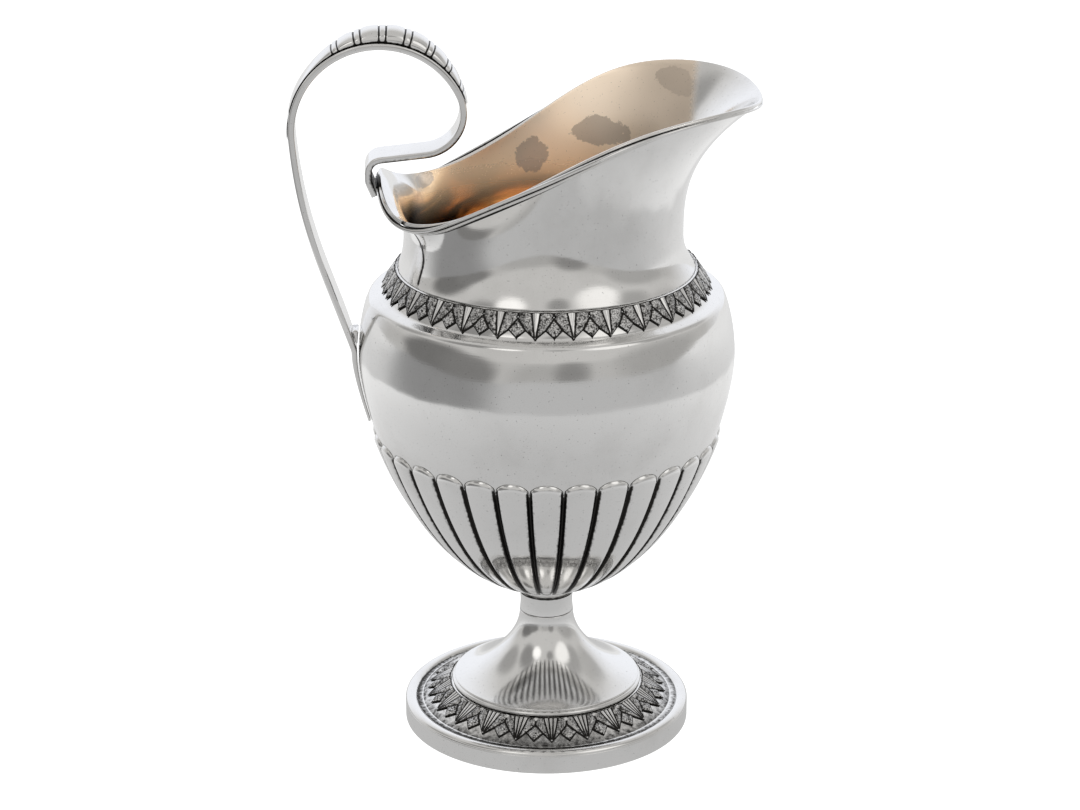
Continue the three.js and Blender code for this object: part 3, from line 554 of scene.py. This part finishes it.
arc = np.linspace(0, np.pi, 8)[1:-1, None, None]
edgeTop = neckWall(2.0) - rimFacing * neck["wall"] / 2 * (1 - np.cos(arc))
edgeTop = edgeTop + rimUp * neck["edgeRound"] * np.sin(arc)
neckGrid = np.concatenate([outerWall, edgeTop, innerWall])

# Gilt inside, but for the lip and the strip by the handle, with painted dark reflections as spots on the far
# side. A spot has its middle along and up, then its half width and half height. A dark wavy line runs down
# the outside.
stains = [(-2.5, 155.0, 6.0, 6.0), (16.4, 162.0, 9.5, 5.0), (37.0, 177.5, 6.5, 4.0), (-32.4, 151.2, 3.2, 2.6)]
wavyLine = {"at": -150, "wander": 0.014, "width": 0.55, "from": (133.8, 135)}
along, aside, upward = neckGrid[..., 0], neckGrid[..., 1], neckGrid[..., 2]
inside = np.concatenate([0 * outerLevels, np.full((len(arc), 1), 0.15), 0 * innerLevels + 1])
lipFade = smoothstep(1.0, -1.0, along - 40.2 - 0.19 * (upward - 168.5))
backFade = smoothstep(-37, -32, along)
spread = [1 - np.hypot((along - x) / wide, (upward - z) / tall) for x, z, wide, tall in stains]
stain = np.clip(np.max(spread, 0), -1, 1) * (aside > 0) * inside
wavyLineAngle = np.radians(wavyLine["at"]) + wavyLine["wander"] * np.sin(0.5 * upward)
fromWavyLine = neck["throatRadius"] * (rimAngle - wavyLineAngle)
wavyLineDark = np.exp(-(fromWavyLine / wavyLine["width"]) ** 2) * smoothstep(*wavyLine["from"], upward) * (1 - inside)
gridPiece("neck", neckGrid, giltLined, "neck", "gilt_lined_silver", recess=wavyLineDark,
          gilt=inside * lipFade * backFade, stain=stain)

# The moulding's section, a wire over a bead, is carried round the rim: down along the wall, and out from it
moulding = {"height": 2.7, "depth": 1.2, "seat": 0.25, "atLip": 0.45, "fade": (35, 75), "darkFrom": (30, 60)}
downShare = np.linspace(0, 1, 30)
wire = np.sqrt(np.clip(1 - ((downShare - 0.24) / 0.26) ** 2, 0, 1))
bead = 0.68 * np.sqrt(np.clip(1 - ((downShare - 0.74) / 0.2) ** 2, 0, 1))
proud = np.maximum(np.maximum(wire, bead), 0.12 * np.sin(np.pi * downShare) + 0.05)
proud[[0, -1]] = 0.02
section = np.concatenate([np.stack([downShare, proud], -1), [[0.7, 0], [0.3, 0]]])
fromLip = np.degrees(np.abs(rimAngle))
mouldSize = moulding["atLip"] + (1 - moulding["atLip"]) * smoothstep(*moulding["fade"], fromLip)
mouldLevel = 2 - section[:, :1] * moulding["height"] * mouldSize / rimLength[:, 0]
mouldOut = moulding["seat"] + section[:, 1:] * moulding["depth"] * mouldSize
mouldDark = np.concatenate([smoothstep(0.5, 0.25, proud), [1, 1]])
mouldGrid = neckWall(mouldLevel) + rimFacing * mouldOut[..., None]
gridPiece("rimMoulding", mouldGrid, polishedSilver, "rim_moulding", "polished_silver",
          recess=mouldDark[:, None] * smoothstep(*moulding["darkFrom"], fromLip))


# Leaf friezes: a strip on a cone. Places on a leaf are shares of its pitch across and of its length down

shoulderLeaves = {"name": "shoulderFrieze", "node": "shoulder_frieze", "count": 28, "turn": 0.5, "steps": 44,
                  "root": (body["neckRadius"], body["neckLevel"]), "foot": (ledgeR, ledgeZ), "length": 7.6,
                  "reach": ([0, 0.27, 0.5], [1.0, 0.68, 0.97]),
                  "cuts": [((0.5, 0.26), (0.27, 0.68)), ((0.27, 0.68), (0.0, 1.02)),
                           ((0.27, 0.68), (0.5, 0.98)), ((0.13, -0.02), (0.02, 0.93)),
                           ((0.5, -0.02), (0.5, 0.26))],
                  "rib": (0.13, 0.02), "side": ([0, 0.26, 0.68, 1.0], [0.5, 0.5, 0.27, 0.27]),
                  "flankDark": 0.34, "lozengeDark": 0.25, "dots": [((0.5, 0.2), 0.45)], "beads": []}
footLeaves = {"name": "footFrieze", "node": "foot_frieze", "count": 21, "turn": 0.0, "steps": 56,
              "root": (slopeInner, foot["slopeTop"]), "foot": (slopeOuter, foot["grooveFloor"]),
              "length": 8.2, "reach": ([0, 0.25, 0.5], [1.0, 0.66, 0.98]),
              "cuts": [((0.5, 0.34), (0.25, 0.66)), ((0.25, 0.66), (0.0, 1.02)), ((0.25, 0.66), (0.5, 0.99)),
                       ((0.08, -0.02), (0.02, 0.9)), ((0.25, -0.02), (0.06, 0.86)),
                       ((0.5, 0.12), (0.5, 0.34))],
              "rib": (0.25, 0.04), "side": ([0, 0.34, 0.66, 1.0], [0.5, 0.5, 0.25, 0.25]),
              "flankDark": 0.34, "lozengeDark": 0.26, "dots": [], "beads": [((0.5, 0.1), 0.55)]}
chasing = {"margin": 0.35, "thickness": 0.6, "lowest": 0.38, "pillow": 0.75, "cutWidth": 0.27,
           "dotDepth": 0.3, "beadBase": 0.25, "beadRise": 0.45, "atEdge": 0.55, "seat": 0.15, "rows": 40}


# Distance from every point to a straight cut, both given as mm across and down
def cutDistance(x, y, cut, pitch, length):
    (ax, ay), (bx, by) = [(u * pitch, v * length) for u, v in cut]
    t = np.clip(((x - ax) * (bx - ax) + (y - ay) * (by - ay)) / ((bx - ax) ** 2 + (by - ay) ** 2), 0, 1)
    return np.hypot(x - ax - t * (bx - ax), y - ay - t * (by - ay))


# One strip of leaves: the height swells away from the nearest cut, dots are sunk, beads stand up, and the
# last rows close the strip underneath
def leafFrieze(leaf):
    length, margin = leaf["length"], chasing["margin"]
    columns = leaf["count"] * leaf["steps"]
    repeat = np.arange(columns) / leaf["steps"]
    angle = np.radians(-90) + (repeat + leaf["turn"]) * 2 * np.pi / leaf["count"]
    u = np.abs((repeat + 0.5) % 1 - 0.5)
    reach = np.interp(u, *leaf["reach"]) * length
    down = margin + np.linspace(0, 1, chasing["rows"])[:, None] * (reach - margin)
    root, tip = np.array(leaf["root"]), np.array(leaf["foot"])
    pitch = 2 * np.pi * (root[0] + tip[0]) / 2 / leaf["count"]
    x = u[None] * pitch + 0 * down
    near = np.min([cutDistance(x, down, cut, pitch, length) for cut in leaf["cuts"]], 0)
    pillow = 1 - np.exp(-(near / chasing["pillow"]) ** 2)
    height = chasing["thickness"] * (chasing["lowest"] + (1 - chasing["lowest"]) * pillow)
    share = down / length
    rib = np.interp(share, [0, 0.93], leaf["rib"]) * pitch
    side = np.interp(share, *leaf["side"]) * pitch
    flank = smoothstep(0, 0.15, x - rib) * smoothstep(0.1, -0.1, x - side)
    lozenge = smoothstep(-0.1, 0.1, x - side)
    ground = leaf["flankDark"] * flank + leaf["lozengeDark"] * lozenge
    dark = np.maximum(np.exp(-(near / chasing["cutWidth"]) ** 2), ground)
    for (du, dv), radius in leaf["dots"]:
        away = np.hypot(x - du * pitch, down - dv * length)
        height = height - chasing["dotDepth"] * np.exp(-(away / radius) ** 2)
        dark = np.maximum(dark, np.exp(-(away / radius) ** 4))
    for (du, dv), radius in leaf["beads"]:
        away = np.hypot(x - du * pitch, down - dv * length)
        dome = np.sqrt(np.clip(1 - (away / radius) ** 2, 0, 1))
        height = np.maximum(height, chasing["beadBase"] + chasing["beadRise"] * dome)
        dark = dark * (dome == 0)
    height = height * (chasing["atEdge"] + (1 - chasing["atEdge"]) * smoothstep(0, 0.25, reach - down))
    # Dark along the root, where the strip meets the wall: partly tarnish, partly painted shade
    dark = np.maximum(dark, smoothstep(margin, 0.0, down - margin))
    matted = np.maximum(lozenge, 0.7 * flank) * smoothstep(0.1, 0.3, near)
    flat, end = np.zeros((1, columns)), reach[None]
    downAll = np.concatenate([down, end, end, 0.5 * (end + margin), flat + margin])
    heights = np.concatenate([height, 0.5 * height[-1:], flat, flat, flat]) + chasing["seat"]
    way = (tip - root) / np.linalg.norm(tip - root)
    r = root[0] + way[0] * downAll - way[1] * heights
    z = root[1] + way[1] * downAll + way[0] * heights
    grid = np.stack([r * np.cos(angle), r * np.sin(angle), z], -1)
    # The strip's closing rows are black: partly tarnish, partly painted shade along its thickness
    gridPiece(leaf["name"], grid, chasedSilver, leaf["node"], "chased_silver",
              recess=np.concatenate([dark, flat + 1, flat + 1, flat, flat]),
              matted=np.concatenate([matted, flat, flat, flat, flat]))


leafFrieze(shoulderLeaves)
leafFrieze(footLeaves)


# Handle: a strap carried along one line in the plane of the handle, its grip, and the wedge at the belly

strap = {"width": 11.5, "thickness": 2.0, "tailWidth": 6.0, "tailThickness": 0.8, "tailEnd": 90.2,
         "contact": 111.0, "lean": 0.3, "tailPull": 20.7, "loopPull": 27.2, "loopRadius": 23.4,
         "loopCentre": (-44.6, 172.3), "loopStart": 184.5, "curlRadius": 11.2, "curlStart": 24.0,
         "curlEnd": -84.0, "hookX": -47.8, "hookRadius": 3.5, "hookStraight": 2.6, "hookDrop": 6.4,
         "hookLean": 1.6, "gap": 0.15, "rows": 620, "easing": 9, "underShade": 0.7, "underFrom": (0.77, 0.83)}


# Points on a circle at one angle or at many, in degrees
def roundPoints(centre, radius, degrees):
    angle = np.radians(degrees)
    return np.asarray(centre) + radius * np.stack([np.cos(angle), np.sin(angle)], -1)


# Share of the strap's full section at a height: 0 at the end of the tail, 1 above the belly
def strapShare(z):
    return smoothstep(strap["tailEnd"], strap["contact"] + strap["width"], z)


def strapDepth(z):
    return strap["tailThickness"] + (strap["thickness"] - strap["tailThickness"]) * strapShare(z)


curlCentre = roundPoints(strap["loopCentre"], strap["loopRadius"] - strap["curlRadius"], strap["curlStart"])


# Centre line: up the belly, over the free back, round the loop and the curl, and down behind the rim
def strapLine():
    tailZ = np.linspace(strap["tailEnd"], strap["contact"], 20)
    tail = np.stack([-(vaseRadius(tailZ) + strap["gap"] + strapDepth(tailZ) / 2), tailZ], -1)
    loop = roundPoints(strap["loopCentre"], strap["loopRadius"],
                       np.linspace(strap["loopStart"], strap["curlStart"], 140))
    curl = roundPoints(curlCentre, strap["curlRadius"], np.linspace(strap["curlStart"], strap["curlEnd"], 60))
    leave = tail[-1] + strap["tailPull"] * np.array([-strap["lean"], 1])
    arrive = roundPoints(loop[0], strap["loopPull"], strap["loopStart"] + 90)
    back = bezier([tail[-1], leave, arrive, loop[0]], 80)
    way = roundPoints((0, 0), 1, strap["curlEnd"] - 90)
    run = (curl[-1, 0] - strap["hookX"] - strap["hookRadius"] * (1 + way[1])) / -way[0]
    hookLevel = curl[-1, 1] + run * way[1] + strap["hookRadius"] * way[0]
    hook = roundPoints((strap["hookX"] + strap["hookRadius"], hookLevel), strap["hookRadius"],
                       np.linspace(180 + strap["curlEnd"], 180, 20))
    end = [[strap["hookX"], hookLevel - strap["hookStraight"]],
           [strap["hookX"] + strap["hookLean"], hookLevel - strap["hookDrop"]]]
    line = evenLine(np.concatenate([tail[:-1], back[:-1], loop[:-1], curl, hook, end]), strap["rows"])
    weights = np.hanning(strap["easing"]) / np.hanning(strap["easing"]).sum()
    padded = np.pad(line, ((strap["easing"] // 2,) * 2, (0, 0)), mode="reflect", reflect_type="odd")
    return np.stack([np.convolve(padded[:, k], weights, "valid") for k in range(2)], -1)


# Sideways direction of a line in its plane: its run turned a quarter to the left
def lineFacing(line):
    way = np.gradient(line, axis=0)
    way = way / np.linalg.norm(way, axis=1, keepdims=True)
    return np.stack([-way[:, 1], way[:, 0]], -1)


# Turns a sine or cosine round a circle into one round a box with eased corners
def boxed(value):
    return np.sign(value) * np.abs(value) ** 0.28


line = strapLine()
facing = lineFacing(line)
around = np.linspace(0, 2 * np.pi, 36, endpoint=False)
strapWidth = strap["tailWidth"] + (strap["width"] - strap["tailWidth"]) * strapShare(line[:, 1])
strapOut = strapDepth(line[:, 1])[:, None] / 2 * boxed(np.sin(around))
strapAside = -strapWidth[:, None] / 2 * boxed(np.cos(around))
strapGrid = np.stack([line[:, :1] + facing[:, :1] * strapOut, strapAside,
                      line[:, 1:] + facing[:, 1:] * strapOut], -1)
# Painted shade on the inner face of the curl and the hook behind the rim
curlUnderShade = smoothstep(*strap["underFrom"], np.linspace(0, 1, len(line)))[:, None]
gridPiece("handleStrap", strapGrid, polishedSilver, "handle_strap", "polished_silver", capped=True,
          recess=strap["underShade"] * curlUnderShade * smoothstep(-0.3, 0.4, np.sin(around)))

# The grip rises from the strap to its crown. Pairs of grooves cross it, and it swells between them.
grip = {"width": 10.0, "height": 3.5, "edge": 0.3, "crown": 80.0, "spread": 66.0, "left": 184.0,
        "right": 12.0, "leftFade": 30, "bands": 7, "first": 117.0, "step": 14.8, "groove": 0.45,
        "grooveWidth": 0.32, "pitch": 0.95, "swell": 0.08, "lift": 0.02, "thinnest": 0.03, "grooveDark": 0.9,
        "edgeDark": 0.7}
gripAngle = np.linspace(grip["left"], grip["right"], 640)
fromCrown = np.clip(np.abs(gripAngle - grip["crown"]) / grip["spread"], 0, 1)
gripRise = grip["edge"] + (grip["height"] - grip["edge"]) * np.cos(fromCrown * np.pi / 2) ** 2
gripRise = gripRise * smoothstep(grip["left"], grip["left"] - grip["leftFade"], gripAngle)
bandAt = grip["first"] - grip["step"] * np.arange(grip["bands"])
arcAway = np.radians(gripAngle[:, None] - bandAt) * (strap["loopRadius"] + grip["height"])
grooves = np.exp(-((np.abs(arcAway) - grip["pitch"]) / grip["grooveWidth"]) ** 2).sum(1)
swell = np.clip(np.cos(np.radians((gripAngle - grip["first"]) / grip["step"] * 360 + 180)), 0, 1)
swell = swell * (gripAngle < grip["first"]) * (gripAngle > bandAt[-1])
gripTop = gripRise + grip["swell"] * swell * np.clip(gripRise, 0, 1)
gripTop = gripTop - np.minimum(grip["groove"], 0.5 * gripRise) * grooves
onLoop = gripAngle > strap["curlStart"]
gripMiddle = np.where(onLoop[:, None], np.array(strap["loopCentre"]), curlCentre)
gripSeat = np.where(onLoop, strap["loopRadius"], strap["curlRadius"]) + strap["thickness"] / 2 + strap["gap"]
arch = np.linspace(0, np.pi, 26)
archWidth = np.concatenate([np.cos(arch), [-0.5, 0, 0.5]])
archRise = np.concatenate([np.sin(arch) ** 0.8, [0, 0, 0]])
out = gripSeat[:, None] + grip["lift"] + np.maximum(gripTop, grip["thinnest"])[:, None] * archRise
turn = np.radians(gripAngle)[:, None]
gripGrid = np.stack([gripMiddle[:, :1] + out * np.cos(turn), grip["width"] / 2 * archWidth + 0 * out,
                     gripMiddle[:, 1:] + out * np.sin(turn)], -1)
gripDark = grip["grooveDark"] * np.clip(grooves, 0, 1)[:, None] * (archRise > 0)
gripDark = gripDark + grip["edgeDark"] * np.exp(-(archRise / 0.12) ** 2)
gridPiece("handleGrip", gripGrid, polishedSilver, "handle_grip", "polished_silver", capped=True,
          recess=np.clip(gripDark, 0, 1))

wedge = {"low": 112.9, "high": 116.0, "width": 7.0, "thinnest": 0.06, "dark": 0.35}
wedgeZ = np.linspace(wedge["low"], wedge["high"], 30)
backLine = line[:np.argmax(line[:, 1] > 140)]  # the strap up to the start of the loop
strapSide = np.interp(wedgeZ, backLine[:, 1], backLine[:, 0]) + strapDepth(wedgeZ) / 2 + strap["gap"]
bellySide = -vaseRadius(wedgeZ) - strap["gap"]
wedgeMiddle = (strapSide + bellySide)[:, None] / 2
wedgeHalf = np.maximum(bellySide - strapSide, wedge["thinnest"])[:, None] / 2
wedgeGrid = np.stack([wedgeMiddle + wedgeHalf * boxed(np.sin(around)),
                      -wedge["width"] / 2 * boxed(np.cos(around)) + 0 * wedgeMiddle,
                      wedgeZ[:, None] + 0 * around], -1)
gridPiece("handleBracket", wedgeGrid, polishedSilver, "handle_bracket", "polished_silver", capped=True,
          recess=wedge["dark"])
print("handle made")


# Stage: a pale floor, a room that is white behind the jug and grey in front, soft lamps and the camera

floorTone = {"reach": 3.0, "seen": 1.3, "plain": (0.7, 0.7, 0.7, 1),
             "front": 0.56, "back": 0.88, "across": (-0.36, 0.34), "sheetEdge": (0.36, 0.40), "ragged": 0.09,
             "tableFront": 0.48, "tableBack": 0.8, "tableTurn": 0.15, "tableAcross": (-0.2, 0.6),
             "darkWay": (-0.93, -0.37, 0), "darkFrom": (0.7, 0.98), "dark": 0.55,
             "shadeReach": (0.045, 0.3), "shade": 0.72}


# Seen from the camera the floor is plain white. Metal sees it by its place: a pale sheet with a ragged edge
# on a darker table, both lighter to the back, the table darkest at the left and the sheet shaded by the jug.
def stageFloor():
    mesh = bpy.data.meshes.new("floor")
    reach = floorTone["reach"]
    mesh.from_pydata([(-reach, -reach, 0), (reach, -reach, 0), (reach, reach, 0), (-reach, reach, 0)], [],
                     [(0, 1, 2, 3)])
    floor = bpy.data.objects.new("floor", mesh)
    scene.collection.objects.link(floor)
    material = bpy.data.materials.new("paleFloor")
    material.use_nodes = True
    tree = material.node_tree
    tree.nodes.remove(tree.nodes["Principled BSDF"])
    place = tree.nodes.new("ShaderNodeTexCoord").outputs["Object"]
    axes = addNode(tree, "ShaderNodeSeparateXYZ", [("Vector", place)])
    sheet = ramp(tree, axes.outputs["Y"], *floorTone["across"], floorTone["front"], floorTone["back"])
    aslant = calc(tree, "MULTIPLY_ADD", axes.outputs["X"], floorTone["tableTurn"], axes.outputs["Y"])
    table = ramp(tree, aslant, *floorTone["tableAcross"], floorTone["tableFront"], floorTone["tableBack"])
    toward = vectorCalc(tree, "DOT_PRODUCT", vectorCalc(tree, "NORMALIZE", place), floorTone["darkWay"])
    table = calc(tree, "MULTIPLY", table, ramp(tree, toward, *floorTone["darkFrom"], 1.0, floorTone["dark"]))
    radius = vectorCalc(tree, "LENGTH", place)
    edge = calc(tree, "MULTIPLY_ADD", noise(tree, place, 9.0, 2.0), floorTone["ragged"], radius)
    onTable = ramp(tree, edge, *floorTone["sheetEdge"])
    tone = calc(tree, "MULTIPLY_ADD", onTable, calc(tree, "SUBTRACT", table, sheet), sheet)
    tone = calc(tree, "MULTIPLY", tone, ramp(tree, radius, *floorTone["shadeReach"], floorTone["shade"], 1.0))
    mirrored = addNode(tree, "ShaderNodeEmission", [("Strength", tone)])
    plain = addNode(tree, "ShaderNodeBsdfDiffuse", Color=floorTone["plain"])
    seen = addNode(tree, "ShaderNodeEmission", Strength=floorTone["seen"])
    rays = tree.nodes.new("ShaderNodeLightPath")
    shiny = addNode(tree, "ShaderNodeMixShader", [(0, rays.outputs["Is Glossy Ray"]), (1, plain.outputs[0]),
                                                  (2, mirrored.outputs[0])])
    both = addNode(tree, "ShaderNodeMixShader", [(0, rays.outputs["Is Camera Ray"]), (1, shiny.outputs[0]),
                                                 (2, seen.outputs[0])])
    tree.links.new(both.outputs[0], tree.nodes["Material Output"].inputs["Surface"])
    mesh.materials.append(material)


# The room by direction, in degrees to the right of the front and up. Each patch has an inner and an outer
# radius, a shade, and how much it is flattened.
roomTone = {"front": 0.48, "frontHigh": 0.55, "risesAt": (0.10, 0.24), "behind": 1.0,
            "behindFrom": (0.3, 0.95), "overhead": 0.52, "overheadFrom": (0.86, 0.97), "seen": 1.0,
            "seenTone": (1.0, 1.0, 1.0, 1.0),
            "warm": (1.0, 0.985, 0.96, 1), "cool": (0.93, 0.95, 1.0, 1)}
roomPatches = [(-76, 5, 15, 28, 0.17, 2.0), (-52, 3, 10, 22, 0.2, 2.0), (-8, 0, 10, 24, 0.4, 2.0),
               (13, 2, 3, 14, 0.24, 1.0), (70, 4, 18, 36, 0.38, 2.0), (-66, 46, 8, 20, 0.26, 1.0),
               (80, 46, 8, 22, 0.36, 1.0), (-36, 47, 5, 12, 1.1, 1.0), (48, 44, 10, 20, 0.95, 1.0),
               (8, 53, 3, 9, 0.28, 1.0), (-110, 36, 7, 18, 0.34, 1.0), (114, 36, 7, 20, 0.45, 1.0)]


# Grey in front, lighter higher up, white behind, with the patches and the ceiling laid over it
def stageWorld():
    world = bpy.data.worlds.new("studio")
    world.use_nodes = True
    scene.world = world
    tree = world.node_tree
    way = tree.nodes.new("ShaderNodeTexCoord").outputs["Generated"]
    axes = addNode(tree, "ShaderNodeSeparateXYZ", [("Vector", way)])
    room = ramp(tree, axes.outputs["Z"], *roomTone["risesAt"], roomTone["front"], roomTone["frontHigh"])
    backShare = ramp(tree, axes.outputs["Y"], *roomTone["behindFrom"])

    def laidOver(base, share, shade):
        mix = addNode(tree, "ShaderNodeMix", [("Factor", share), (2, base)])
        mix.inputs[3].default_value = shade
        return mix.outputs[0]

    room = laidOver(room, backShare, roomTone["behind"])
    for aside, up, near, far, shade, flat in roomPatches:
        aside, up = np.radians(aside), np.arctan(flat * np.tan(np.radians(up)))
        middle = (np.sin(aside) * np.cos(up), -np.cos(aside) * np.cos(up), np.sin(up))
        even = vectorCalc(tree, "NORMALIZE", vectorCalc(tree, "MULTIPLY", way, (1, 1, flat)))
        toward = vectorCalc(tree, "DOT_PRODUCT", even, middle)
        share = ramp(tree, toward, np.cos(np.radians(far)), np.cos(np.radians(near)))
        room = laidOver(room, share, shade)
    room = laidOver(room, ramp(tree, axes.outputs["Z"], *roomTone["overheadFrom"]), roomTone["overhead"])
    rays = tree.nodes.new("ShaderNodeLightPath").outputs["Is Camera Ray"]
    hue = tint(tree, backShare, roomTone["warm"], roomTone["cool"])
    light = tree.nodes["Background"].inputs
    tree.links.new(laidOver(room, rays, roomTone["seen"]), light["Strength"])
    tree.links.new(tint(tree, rays, hue, roomTone["seenTone"]), light["Color"])


# A square lamp that lights the dull surfaces and isn't mirrored in the metal
def softLamp(name, place, target, size, power):
    data = bpy.data.lights.new(name, "AREA")
    data.shape = "RECTANGLE"
    data.size, data.size_y = size, size
    data.energy = power
    lamp = bpy.data.objects.new(name, data)
    lamp.visible_glossy = False
    lamp.location = place
    aim = np.array(target) - np.array(place)
    tilt, heading = np.arctan2(np.hypot(aim[0], aim[1]), -aim[2]), np.arctan2(aim[0], -aim[1]) + np.pi
    lamp.rotation_euler = (tilt, 0, heading)
    scene.collection.objects.link(lamp)


view = {"sensor": 36.0, "lens": 106.67, "aside": -0.0379, "front": -0.8266, "up": 0.3974,
        "turn": (69.8, 0, -2.5)}


def stageCamera():
    data = bpy.data.cameras.new("camera")
    data.sensor_width = view["sensor"]
    data.sensor_fit = "HORIZONTAL"
    data.lens = view["lens"]
    camera = bpy.data.objects.new("camera", data)
    camera.location = (axisX + view["aside"], view["front"], view["up"])
    camera.rotation_euler = tuple(np.radians(view["turn"]))
    scene.collection.objects.link(camera)
    scene.camera = camera


stageCamera()
stageFloor()
stageWorld()
softLamp("topLamp", place=(0.1, -0.3, 1.6), target=(0, 0, 0.1), size=1.0, power=4.0)
softLamp("frontLamp", place=(0.62, -0.5, 0.75), target=(0, 0, 0.15), size=0.6, power=13.0)
print("stage set")
